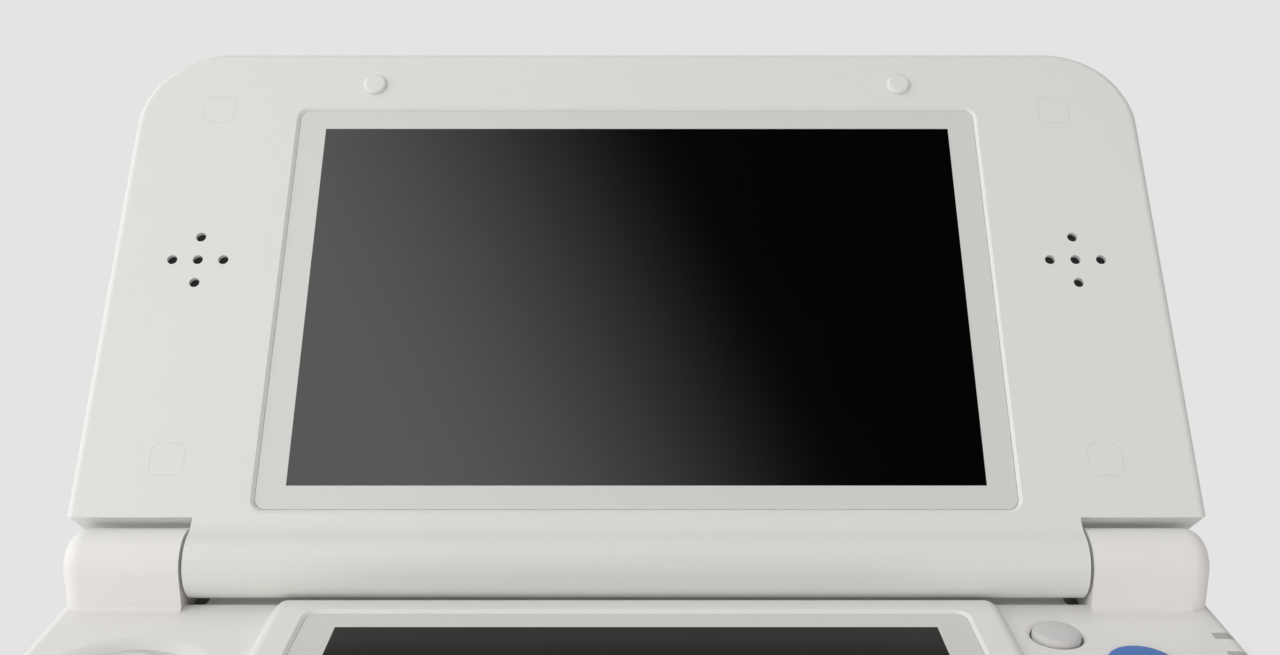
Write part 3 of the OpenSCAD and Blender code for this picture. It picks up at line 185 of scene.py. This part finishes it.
def paint_floor():
    """Keeps the console's shadow close by, and further out reads as an even pale sweep."""
    skin = bpy.data.materials.new("pale_floor")
    skin.use_nodes = True
    add = nodes_of(skin.node_tree)
    grain = add("ShaderNodeTexNoise", {"Scale": 40})
    tone = add("ShaderNodeMapRange", {"Value": grain.outputs["Fac"],
                                      "To Min": 0.78, "To Max": 0.80})
    surface = add("ShaderNodeBsdfPrincipled", {"Base Color": tone.outputs["Result"],
                                               "Roughness": 0.9, "Specular IOR Level": 0.1})
    # how far a point is from the base's outline
    where = add("ShaderNodeTexCoord")
    folded = add("ShaderNodeVectorMath", {0: where.outputs["Object"]}, operation="ABSOLUTE")
    past = add("ShaderNodeVectorMath", {0: folded.outputs[0],
                                        1: (HALF_WIDTH * MM, HALF_DEPTH * MM, 0)},
               operation="SUBTRACT")
    clear = add("ShaderNodeVectorMath", {0: past.outputs[0], 1: (0, 0, 0)}, operation="MAXIMUM")
    reach = add("ShaderNodeVectorMath", {0: clear.outputs[0]}, operation="LENGTH")
    far = soft_step(add, reach.outputs["Value"], SHADOW_START * MM, SHADOW_END * MM)
    path = add("ShaderNodeLightPath")
    seen = add("ShaderNodeMath", {0: far, 1: path.outputs["Is Camera Ray"]}, operation="MULTIPLY")
    sweep = add("ShaderNodeEmission", {"Color": BACKDROP})
    mixed = add("ShaderNodeMixShader", {0: seen.outputs[0], 1: surface.outputs[0],
                                        2: sweep.outputs[0]})
    add("ShaderNodeOutputMaterial", {"Surface": mixed.outputs[0]})
    return skin


def lay_floor():
    deselect()
    bpy.ops.mesh.primitive_circle_add(vertices=96, radius=FLOOR_RADIUS * MM, fill_type="NGON",
                                      location=(0, 0, -FLOOR_DROP * MM))
    floor = bpy.context.object
    floor.name = "floor"
    apply_place()
    floor.data.materials.append(paint_floor())


# ------------------------------------------------------------------ finishes

NUMBER, COLOR = "NodeSocketFloat", "NodeSocketColor"


def new_group(name, inputs, output, kind):
    """A node group with these inputs and one output: its tree, and what it is filled from."""
    tree = bpy.data.node_groups.new(name, "ShaderNodeTree")
    for label, value in inputs.items():
        made = tree.interface.new_socket(
            label, in_out="INPUT", socket_type=COLOR if isinstance(value, tuple) else NUMBER)
        made.default_value = value
    tree.interface.new_socket(output, in_out="OUTPUT", socket_type=kind)
    add = nodes_of(tree)
    return tree, add, add("NodeGroupInput").outputs, add("ShaderNodeTexCoord").outputs["Object"]


def make_grain():
    """Fine spark-eroded mould texture."""
    tree, add, given, where = new_group(
        "moulded_grain", {"Size": 4200.0, "Mix": 0.4}, "Height", NUMBER)
    fine = add("ShaderNodeTexNoise", {"Vector": where, "Scale": given["Size"], "Detail": 3})
    pits = add("ShaderNodeTexVoronoi", {"Vector": where, "Scale": given["Size"]})
    both = add("ShaderNodeMix", {0: given["Mix"], 2: fine.outputs["Fac"],
                                 3: pits.outputs["Distance"]}, data_type="FLOAT")
    add("NodeGroupOutput", {"Height": both.outputs[0]})
    return tree


def vary(add, noise, amount, middle):
    """middle, more or less by up to half of amount as the noise goes."""
    off = add("ShaderNodeMath", {0: noise.outputs["Fac"], 1: 0.5}, operation="SUBTRACT")
    return times_plus(add, off.outputs[0], amount, middle)


def make_tone():
    """Slow drift of the colour over a moulding."""
    tree, add, given, where = new_group(
        "tone_drift", {"Color": (0.7, 0.7, 0.7, 1), "Amount": 0.03, "Size": 35.0},
        "Color", COLOR)
    cloud = add("ShaderNodeTexNoise", {"Vector": where, "Scale": given["Size"], "Detail": 4})
    scaled = add("ShaderNodeVectorMath",
                 {0: given["Color"], "Scale": vary(add, cloud, given["Amount"], 1.0)},
                 operation="SCALE")
    add("NodeGroupOutput", {"Color": scaled.outputs[0]})
    return tree


def make_handling():
    """Faint smears and rubbed spots in the gloss, from hands."""
    tree, add, given, where = new_group(
        "handling", {"Roughness": 0.4, "Amount": 0.06, "Size": 60.0}, "Roughness", NUMBER)
    smear = add("ShaderNodeTexNoise", {"Vector": where, "Scale": given["Size"], "Detail": 6,
                                       "Distortion": 1.2})
    add("NodeGroupOutput", {"Roughness": vary(add, smear, given["Amount"], given["Roughness"])})
    return tree


GRAIN, TONE, HANDLING = make_grain(), make_tone(), make_handling()


def finish_of(name, color, roughness, grain=4200.0, depth=10, pits=0.4, drift=0.03,
              rub=0.06, metal=0.0, ior=1.5, coat=0.0, coat_rough=0.1):
    """A material with drifting tone, handled gloss and moulded grain, depth microns high."""
    skin = bpy.data.materials.new(name)
    skin.use_nodes = True
    add = nodes_of(skin.node_tree)
    tone = add("ShaderNodeGroup", {"Color": (*color, 1), "Amount": drift}, node_tree=TONE)
    gloss = add("ShaderNodeGroup", {"Roughness": roughness, "Amount": rub}, node_tree=HANDLING)
    texture = add("ShaderNodeGroup", {"Size": grain, "Mix": pits}, node_tree=GRAIN)
    bump = add("ShaderNodeBump", {"Strength": 0.5, "Distance": depth * MICRON,
                                  "Height": texture.outputs["Height"]})
    surface = add("ShaderNodeBsdfPrincipled", {
        "Metallic": metal, "IOR": ior, "Coat Weight": coat, "Coat Roughness": coat_rough,
        "Base Color": tone.outputs["Color"], "Roughness": gloss.outputs["Roughness"],
        "Normal": bump.outputs["Normal"]})
    add("ShaderNodeOutputMaterial", {"Surface": surface.outputs[0]})
    return skin


def make_finishes():
    """Every finish of the console, by its name."""
    finishes = [
        finish_of("satin_white_lid", (0.76, 0.778, 0.742), 0.42),
        finish_of("satin_white_base", (0.82, 0.81, 0.785), 0.42),
        finish_of("gloss_white_cover", (0.70, 0.705, 0.68), 0.16, depth=3, coat=0.6,
                  coat_rough=0.05),
        finish_of("window_border_white", (0.68, 0.69, 0.66), 0.3, depth=4),
        finish_of("gloss_white_keys", (0.76, 0.755, 0.735), 0.26, depth=3, coat=0.2),
        finish_of("fine_grey_grip", (0.63, 0.625, 0.615), 0.55, grain=6500, depth=20),
        finish_of("black_window_glass", (0.0015, 0.0015, 0.0017), 0.09, depth=0.5, rub=0.04,
                  ior=1.7),
        finish_of("matte_touch_window", (0.0025, 0.0025, 0.0027), 0.22, depth=1, rub=0.05,
                  ior=1.3),
        finish_of("blue_key", (0.042, 0.165, 0.51), 0.3, depth=3, ior=1.4),
        finish_of("plated_steel", (0.56, 0.57, 0.58), 0.3, depth=4, metal=1.0),
        finish_of("display_back_metal", (0.6, 0.61, 0.62), 0.38, depth=4, metal=1.0),
        finish_of("matte_black_moulding", (0.02, 0.02, 0.022), 0.5),
        finish_of("lens_glass", (0.004, 0.004, 0.006), 0.05, depth=0.5, ior=1.6),
        finish_of("solder_mask_green", (0.012, 0.10, 0.05), 0.35, drift=0.2),
        # black of the speaker holes: partly real gauze, partly painted shade of the holes
        finish_of("black_gauze_hole_shade", (0.012, 0.012, 0.013), 0.8, grain=9000, depth=30, pits=0.9),
        finish_of("grey_rubber", (0.33, 0.34, 0.35), 0.7, depth=20),
        finish_of("amber_film", (0.42, 0.2, 0.04), 0.3),
        finish_of("smoked_light_window", (0.48, 0.475, 0.46), 0.22, depth=2),
    ]
    return {skin.name: skin for skin in finishes}


# the nodes that wear each finish
WORN_BY = {
    "satin_white_lid": "lid_inner_case lid_outer_case screw_covers lid_pads",
    "satin_white_base": "deck_case lower_case cover_plate trigger_left trigger_right "
                        "rear_button_left rear_button_right stylus",
    "gloss_white_cover": "lid_cover_plate",
    "window_border_white": "lower_bezel upper_bezel",
    "gloss_white_keys": "button_right button_bottom button_left start_button select_button "
                        "home_button power_button dpad",
    "fine_grey_grip": "circle_pad circle_pad_carrier nub_cap volume_slider depth_slider",
    "black_window_glass": "upper_glass infrared_window",
    "matte_touch_window": "touch_panel",
    "blue_key": "button_top",
    "plated_steel": "cover_screws case_screws card_cage sd_socket shoulder_pins "
                    "shoulder_springs hinge_bush hinge_unit hinge_shaft lid_screws nub_post",
    "display_back_metal": "lower_lcd upper_lcd battery wireless_module",
    "matte_black_moulding": "headphone_jack charge_socket circle_pad_housing speakers",
    "lens_glass": "camera_lenses",
    "solder_mask_green": "main_board lid_board",
    "grey_rubber": "button_membranes dpad_rubber",
    "amber_film": "hinge_flex",
    "smoked_light_window": "status_lights",
}


def wear(piece, *skins):
    piece.data.materials.clear()
    for skin in skins:
        piece.data.materials.append(skin)


def dress_nodes(finishes):
    for finish, nodes in WORN_BY.items():
        for node in nodes.split():
            wear(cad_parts[node], finishes[finish])


# ------------------------------------------------------------------ shaping in edit mode

def start_round(name, x, y, radius, low, high, sides=72):
    """A short round bar at its place, left in edit mode."""
    deselect()
    bpy.ops.mesh.primitive_cylinder_add(
        vertices=sides, radius=radius * MM, depth=(high - low) * MM,
        location=in_metres((x, y, (low + high) / 2)))
    piece = bpy.context.object
    piece.name = name
    apply_place()
    bpy.ops.object.mode_set(mode="EDIT")
    return piece


def start_block(name, middle, size):
    """A block at its place, left in edit mode."""
    deselect()
    bpy.ops.mesh.primitive_cube_add(size=MM, location=in_metres(middle), scale=size)
    piece = bpy.context.object
    piece.name = name
    apply_place()
    bpy.ops.object.mode_set(mode="EDIT")
    return piece


def pick_faces(piece, test):
    bpy.ops.mesh.select_mode(type="FACE")
    bpy.ops.mesh.select_all(action="DESELECT")
    mesh = bmesh.from_edit_mesh(piece.data)
    for face in mesh.faces:
        face.select_set(bool(test(face.calc_center_median() / MM, face.normal)))
    bmesh.update_edit_mesh(piece.data)


def pick_edges(piece, test):
    bpy.ops.mesh.select_mode(type="EDGE")
    bpy.ops.mesh.select_all(action="DESELECT")
    mesh = bmesh.from_edit_mesh(piece.data)
    for edge in mesh.edges:
        start, end = [point.co / MM for point in edge.verts]
        edge.select_set(bool(test(start, end, edge)))
    bmesh.update_edit_mesh(piece.data)


def pick_end(piece, side):
    """Picks the flat face at the top or the bottom."""
    mesh = bmesh.from_edit_mesh(piece.data)
    end = max(side * point.co.z for point in mesh.verts) / MM
    pick_faces(piece, lambda at, normal: side * normal.z > 0.99 and side * at.z > end - 0.001)


def pull(distance):
    """Extrudes what is picked straight up, or down where the distance is negative."""
    bpy.ops.mesh.extrude_region_move(TRANSFORM_OT_translate={"value": (0, 0, distance * MM)})


def ring(inward, out=0.0):
    """Insets what is picked, its inner edge standing out from the face by out."""
    bpy.ops.mesh.inset(thickness=inward * MM, depth=out * MM)


def follow_circle(radius, turns, out=1):
    """Insets along a circle from turn to turn, outwards, or into the piece where out is -1."""
    for a, b in zip(turns, turns[1:]):
        ring(radius * (math.cos(a) - math.cos(b)), out * radius * (math.sin(b) - math.sin(a)))


def round_over(radius, parts=5):
    """Rounds the edge of the picked face: a quarter turn from the wall to the flat."""
    follow_circle(radius, [math.pi / 2 * k / parts for k in range(parts + 1)])


def dish(radius, sink, parts=9):
    """Hollows the picked round face like a shallow bowl; a negative sink crowns it."""
    edges = [radius * (1 - k / (parts + 1)) for k in range(parts + 1)]
    fall = [-sink * (1 - (edge / radius) ** 2) for edge in edges]
    for k in range(parts):
        ring(edges[k] - edges[k + 1], fall[k + 1] - fall[k])


def bevel(width, parts):
    bpy.ops.mesh.bevel(offset=width * MM, segments=parts, affect="EDGES")


def smooth(sharp):
    """Smooth shading, with a hard line where faces meet at more than sharp degrees."""
    bpy.ops.object.shade_smooth_by_angle(angle=math.radians(sharp))


def close_shape(sharp=35):
    """Turns every face outwards and leaves edit mode."""
    bpy.ops.mesh.select_all(action="SELECT")
    bpy.ops.mesh.normals_make_consistent(inside=False)
    bpy.ops.object.mode_set(mode="OBJECT")
    smooth(sharp)


def copy_beside(piece, name, step):
    """A copy with a mesh of its own, step away from the first."""
    twin = piece.copy()
    twin.data = piece.data.copy()
    twin.name = name
    scene.collection.objects.link(twin)
    twin.data.transform(Matrix.Translation(Vector(step) * MM))
    return twin


def join(parts):
    """One piece of several, with the first one's materials in front."""
    deselect()
    for part in parts:
        part.select_set(True)
    bpy.context.view_layer.objects.active = parts[0]
    bpy.ops.object.join()
    return bpy.context.object


def put_in(piece, node, body, skin):
    """Gives a piece its finish and its body, and hides the node that it stands for."""
    wear(piece, skin)
    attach(piece, body)
    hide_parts(node)


# ------------------------------------------------------------------ keys, each on its flange

# middles of the round keys
FACE_KEYS = {"button_top": (57, 17.1), "button_right": (64.7, 9.4),
             "button_bottom": (57, 1.7), "button_left": (49.3, 9.4)}
MENU_KEYS = {"start_button": (50.5, -15.5), "select_button": (50.5, -25.5)}


def shape_round_key(name, x, y, radius, proud, cup, crown):
    """Flange, stem with a soft edge and a crowned top, and the cup for its rubber dome."""
    lip, edge, cup_depth = 0.7, 0.5, 2.0
    piece = start_round(name, x, y, radius + lip, FLANGE, FLANGE + FLANGE_T)
    pick_end(piece, TOP)
    ring(lip)
    pull(DECK + proud - edge - crown - FLANGE - FLANGE_T)
    round_over(edge)
    dish(radius - edge, -crown)
    pick_end(piece, BOTTOM)
    ring(radius + lip - cup)
    pull(cup_depth)
    close_shape()
    return piece


def make_round_keys(places, skins, **shape):
    """Keys of one shape: the first is shaped, and the others are copies of it."""
    first, *others = places
    x, y = places[first]
    keys = {first: shape_round_key(first + "_cap", x, y, **shape)}
    for node in others:
        step = (places[node][0] - x, places[node][1] - y, 0)
        keys[node] = copy_beside(keys[first], node + "_cap", step)
    for node, piece in keys.items():
        slot, skin = skins.get(node, skins["plain"])
        put_in(piece, node, node, skin)


def make_home_key(skin):
    """Long key with round ends, a soft edge and a slight crown."""
    y, length, width, corner, lip = -36.2, 14.4, 4.4, 2.15, 0.65
    proud, edge, crown = 0.4, 0.3, 0.02
    cup_wall, cup_depth = 0.9, 1.2
    piece = start_block("home_button_cap", (0, y, FLANGE + FLANGE_T / 2),
                        (length, width, FLANGE_T))
    pick_edges(piece, lambda a, b, edge: abs(a.z - b.z) > FLANGE_T / 2)
    bevel(corner, 12)
    pick_end(piece, TOP)
    ring(lip)
    pull(DECK + proud - edge - FLANGE - FLANGE_T)
    round_over(edge, parts=4)
    ring(0.5, crown)
    pick_end(piece, BOTTOM)
    ring(cup_wall)
    pull(cup_depth)
    close_shape()
    put_in(piece, "home_button", "home_button", skin)


def cut_with(piece, kind, tool):
    """Joins or cuts the piece with a tool, which is then thrown away."""
    deselect()
    piece.select_set(True)
    bpy.context.view_layer.objects.active = piece
    cut = piece.modifiers.new("cut", "BOOLEAN")
    cut.operation = kind
    cut.object = tool
    cut.solver = "EXACT"
    bpy.ops.object.modifier_apply(modifier="cut")
    bpy.data.objects.remove(tool)


def ball(x, y, z, radius):
    deselect()
    bpy.ops.mesh.primitive_uv_sphere_add(segments=128, ring_count=96, radius=radius * MM,
                                         location=in_metres((x, y, z)))
    apply_place()
    return bpy.context.object


def make_direction_pad(skin):
    """Cross with soft edges, drawn out of its middle, and a thumb hollow."""
    x, y, z = -57.4, -13.6, 10.65
    half, arm, tall = 3.1, 9.2, 3.1
    seat_radius, seat_low, seat_high = 8.0, 9.1, 9.45
    thumb_radius, thumb_z, socket_radius = 12.0, 23.8, 1.15
    middle = Vector((x, y, z))
    piece = start_block("direction_pad_cross", (x, y, z), (2 * half, 2 * half, tall))
    for side in ((1, 0, 0), (-1, 0, 0), (0, 1, 0), (0, -1, 0)):
        toward = Vector(side)
        pick_faces(piece, lambda at, normal: normal.dot(toward) > 0.99
                   and (at - middle).length < half + 0.01)
        bpy.ops.mesh.extrude_region_move(
            TRANSFORM_OT_translate={"value": tuple(toward * (arm - half) * MM)})

    def at_tip(point):
        return max(abs(point.x - x), abs(point.y - y)) > arm - 0.01
    pick_edges(piece, lambda a, b, edge: abs(a.z - b.z) > 1 and at_tip(a) and at_tip(b))
    bevel(0.9, 5)
    rim = z + tall / 2 - 0.01
    pick_edges(piece, lambda a, b, edge: min(a.z, b.z) > rim and len(edge.link_faces) == 2
               and edge.calc_face_angle() > 1)
    bpy.ops.mesh.bevel(offset=0.4 * MM, segments=4, affect="EDGES", clamp_overlap=True)
    bpy.ops.object.mode_set(mode="OBJECT")

    seat = start_round("seat", x, y, seat_radius, seat_low, seat_high)
    bpy.ops.object.mode_set(mode="OBJECT")
    cut_with(piece, "UNION", seat)
    cut_with(piece, "DIFFERENCE", ball(x, y, thumb_z, thumb_radius))
    cut_with(piece, "DIFFERENCE", ball(x, y, seat_low, socket_radius))
    bpy.ops.object.mode_set(mode="EDIT")
    close_shape(sharp=30)
    put_in(piece, "dpad", "dpad_key", skin)


# ------------------------------------------------------------------ circle pad and nub

def make_circle_pad(skin):
    """Dished cap with a raised lip and a fine groove inside it, on its stem."""
    x, y, radius, half_tall = -57.4, 12.4, 6.9, 0.5
    piece = start_round("circle_pad_cap", x, y, radius, DECK - half_tall, DECK + half_tall,
                        sides=96)
    pick_end(piece, TOP)
    round_over(0.6)
    ring(0.35)                          # lip
    ring(0.22, -0.16)                   # groove
    ring(0.18, 0.03)
    dish(5.55, 0.62, parts=12)
    pick_end(piece, BOTTOM)
    round_over(0.4)
    ring(3.9)
    pull(-1.6)                          # stem
    ring(1.3)
    pull(-0.5)                          # and its foot, in the carrier
    close_shape()
    put_in(piece, "circle_pad", "pad_cap", skin)


def make_nub(skin):
    """Small rubber-faced point with a domed top and a ball socket below."""
    x, y, radius, low, high = 49.5, 24.7, 2.85, 9.75, 11.3
    edge, crown, parts = 0.62, 0.18, 6
    mouth, socket, mouth_turn = 1.27, 1.35, 19.5
    piece = start_round("nub_point", x, y, radius, low, high, sides=64)
    pick_end(piece, TOP)
    round_over(edge, parts)
    dish(radius - edge, -crown, parts)
    pick_end(piece, BOTTOM)
    ring(radius - mouth)
    turns = [math.radians(mouth_turn + (90 - mouth_turn) * k / parts) for k in range(parts)]
    follow_circle(socket, turns, out=-1)
    close_shape()
    put_in(piece, "nub_cap", "nub", skin)


# ------------------------------------------------------------------ lenses and speakers in the lid

def make_lenses(trim, glass):
    """Both outer lenses: a trim ring, a dark funnel and a domed glass, each on its housing."""
    x, up, radius = 17.5, 68.4, 2.6
    housing = start_block("lens_housing", (-x, up, -2.75), (7, 7, 2.3))
    bpy.ops.mesh.select_all(action="SELECT")
    bevel(0.25, 2)
    bpy.ops.object.mode_set(mode="OBJECT")
    wear(housing, trim)
    lens = start_round("outer_lens_pair", -x, up, radius, -5.75, -3.9)
    pick_end(lens, BOTTOM)
    round_over(0.15, parts=3)
    ring(0.28)                          # trim ring
    ring(0.06, -0.16)
    ring(0.85, -0.42)                   # funnel
    ring(0.04, -0.12)
    dish(1.22, -0.26, parts=7)          # glass
    wear(lens, trim, glass)
    middle = Vector((-x, up))
    pick_faces(lens, lambda at, normal: normal.z < -0.2 and at.z < -4
               and (at.xy - middle).length < 1.24)
    lens.active_material_index = 1
    bpy.ops.object.material_slot_assign()
    bpy.ops.object.mode_set(mode="OBJECT")
    lens = join([lens, housing])
    piece = join([lens, copy_beside(lens, "other_lens", (2 * x, 0, 0))])
    piece.data.transform(LID)
    smooth(35)
    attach(piece, "lid")
    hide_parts("camera_lenses")


def make_gauze_plugs_and_hole_shade(skin):
    """Black gauze pushed up into the speaker holes: a small domed plug in each. The real gauze
    sits behind the holes; because the plugs fill the holes, their black is partly painted shade,
    standing in for the shade deep in the holes.
    """
    speaker, up, apart = 59.25, 41.1, 3.45
    radius, edge = 0.65, 0.12
    # the plug fills the hole nearly up to the face, so its black also paints the holes' shade
    plug = start_round("speaker_gauze_and_hole_shade", -speaker, up, radius, 0.98, 1.95, sides=28)
    pick_end(plug, TOP)
    round_over(edge, parts=2)
    dish(radius - edge, -0.1, parts=4)
    bpy.ops.object.mode_set(mode="OBJECT")
    wear(plug, skin)
    cross = ((0, 0), (apart, 0), (-apart, 0), (0, apart), (0, -apart))
    steps = [(dx + far, dy, 0) for far in (0, 2 * speaker) for dx, dy in cross]
    piece = join([plug] + [copy_beside(plug, "gauze_and_shade_plug", step) for step in steps[1:]])
    piece.data.transform(LID)
    smooth(40)
    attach(piece, "lid")


def make_pieces(finishes):
    white = ("white_plastic", finishes["gloss_white_keys"])
    blue = ("blue_plastic", finishes["blue_key"])
    make_round_keys(FACE_KEYS, {"plain": white, "button_top": blue},
                    radius=3.9, proud=0.9, cup=2.6, crown=0.12)
    make_round_keys(MENU_KEYS, {"plain": white}, radius=2.2, proud=0.5, cup=1.4, crown=0.06)
    make_home_key(finishes["gloss_white_keys"])
    make_direction_pad(finishes["gloss_white_keys"])
    make_circle_pad(finishes["fine_grey_grip"])
    make_nub(finishes["fine_grey_grip"])
    make_lenses(finishes["matte_black_moulding"], finishes["lens_glass"])
    make_gauze_plugs_and_hole_shade(finishes["black_gauze_hole_shade"])


set_camera()
set_world()
set_lamps()
lay_floor()
FINISHES = make_finishes()
dress_nodes(FINISHES)
make_pieces(FINISHES)
